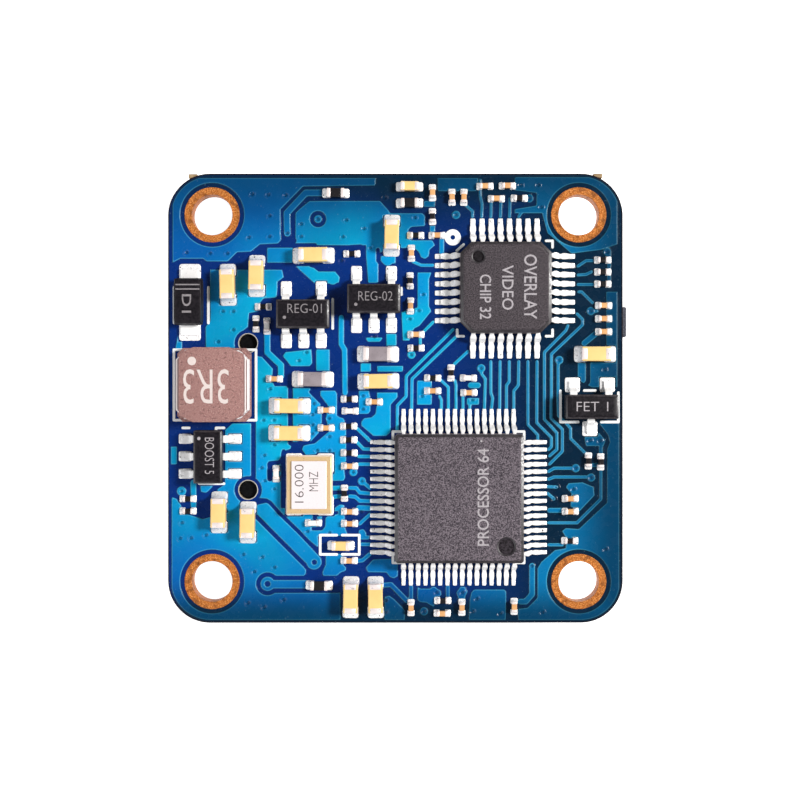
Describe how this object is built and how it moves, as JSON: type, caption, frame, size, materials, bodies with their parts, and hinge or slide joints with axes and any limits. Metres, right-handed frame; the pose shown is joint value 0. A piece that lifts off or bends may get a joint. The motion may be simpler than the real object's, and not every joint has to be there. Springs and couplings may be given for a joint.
{
  "type": "flight controller board",
  "caption": "Small square stack-mount flight controller board with corner holes, chips and chip parts on one face, card socket, wire connector and side push button under it.",
  "frame": {"origin": "centre of the four stack holes, on the laminate's lower face", "axes": "+Z out of the chip side, +Y towards the wire connector's edge, +X towards the side button"},
  "size_m": [0.0252, 0.0244, 0.0059],
  "materials": {
    "laminate": "woven glass laminate, bare at the cut edges",
    "solder_mask": "glossy blue solder mask, lighter where copper lies under it",
    "copper": "thin copper sheet and plated barrels",
    "plating": "bare plated ring, satin",
    "ink": "white printed ink",
    "solder": "bright tinned solder",
    "lead_metal": "tin-plated leads, bright",
    "moulding_grey": "dark grey moulded epoxy, fine grain",
    "moulding_black": "black moulded epoxy, fine grain",
    "ferrite": "sintered ferrite, pinkish brown, speckled",
    "resin": "pale ferrite-filled resin",
    "winding": "enamelled copper wire",
    "yellow_ceramic": "pale yellow sintered ceramic, satin",
    "tan_ceramic": "tan sintered ceramic, satin",
    "grey_ceramic": "grey ferrite bead, satin",
    "white_ceramic": "white alumina, satin",
    "resistor_glaze": "black glaze over alumina",
    "quartz": "thin clear quartz plate",
    "seal_gold": "gold-plated seal ring",
    "lid_metal": "pale nickel lid, satin",
    "shell_steel": "pressed stainless sheet",
    "contact_gold": "gold-flashed spring contacts",
    "socket_black": "black moulded plastic",
    "connector_ivory": "ivory moulded plastic",
    "button_grey": "slate grey moulded plastic",
    "lens": "milky clear epoxy"
  },
  "bodies": {
    "board": {"board_core": "laminate", "copper_layers": "copper", "solder_mask_top": "solder_mask", "solder_mask_bottom": "solder_mask", "mounting_hole_rings": "plating", "via_barrels": "copper", "silkscreen_top": "ink", "silkscreen_bottom": "ink", "solder_pads_top": "solder", "solder_pads_bottom": "solder", "processor_body": "moulding_grey", "processor_leads": "lead_metal", "video_chip_body": "moulding_grey", "video_chip_leads": "lead_metal", "regulator_bodies": "moulding_black", "regulator_leads": "lead_metal", "boost_converter_body": "moulding_black", "boost_converter_leads": "lead_metal", "transistor_body": "moulding_black", "transistor_leads": "lead_metal", "diode_body": "moulding_black", "diode_terminals": "lead_metal", "inductor_core": "ferrite", "inductor_winding": "winding", "inductor_sleeve": "resin", "inductor_terminals": "lead_metal", "crystal_base": "tan_ceramic", "crystal_blank": "quartz", "crystal_seal_ring": "seal_gold", "crystal_lid": "lid_metal", "large_capacitor_bodies": "yellow_ceramic", "large_capacitor_ends": "solder", "bead_bodies": "grey_ceramic", "bead_ends": "solder", "medium_capacitor_bodies": "tan_ceramic", "medium_capacitor_ends": "solder", "medium_resistor_bodies": "resistor_glaze", "medium_resistor_ends": "solder", "small_capacitor_bodies": "tan_ceramic", "small_capacitor_ends": "solder", "small_resistor_bodies": "resistor_glaze", "small_resistor_ends": "solder", "small_inductor_bodies": "white_ceramic", "small_inductor_ends": "solder", "motion_sensor": "moulding_black", "card_socket_base": "socket_black", "card_socket_shell": "shell_steel", "card_socket_contacts": "contact_gold", "wire_connector_housing": "connector_ivory", "wire_connector_pins": "lead_metal", "wire_connector_tabs": "lead_metal", "switch_base": "socket_black", "switch_cover": "shell_steel", "switch_dome": "shell_steel", "switch_terminals": "lead_metal", "status_led_base": "white_ceramic", "status_led_lens": "lens", "status_led_ends": "solder"},
    "button": {"switch_button": "button_grey"}
  },
  "joints": [
    {"name": "button_push", "type": "slide", "parent": "board", "child": "button", "axis": [-1, 0, 0], "range_m": [0, 0.00025], "stiffness_N_per_m": 400, "deforming": ["switch_dome"]}
  ]
}
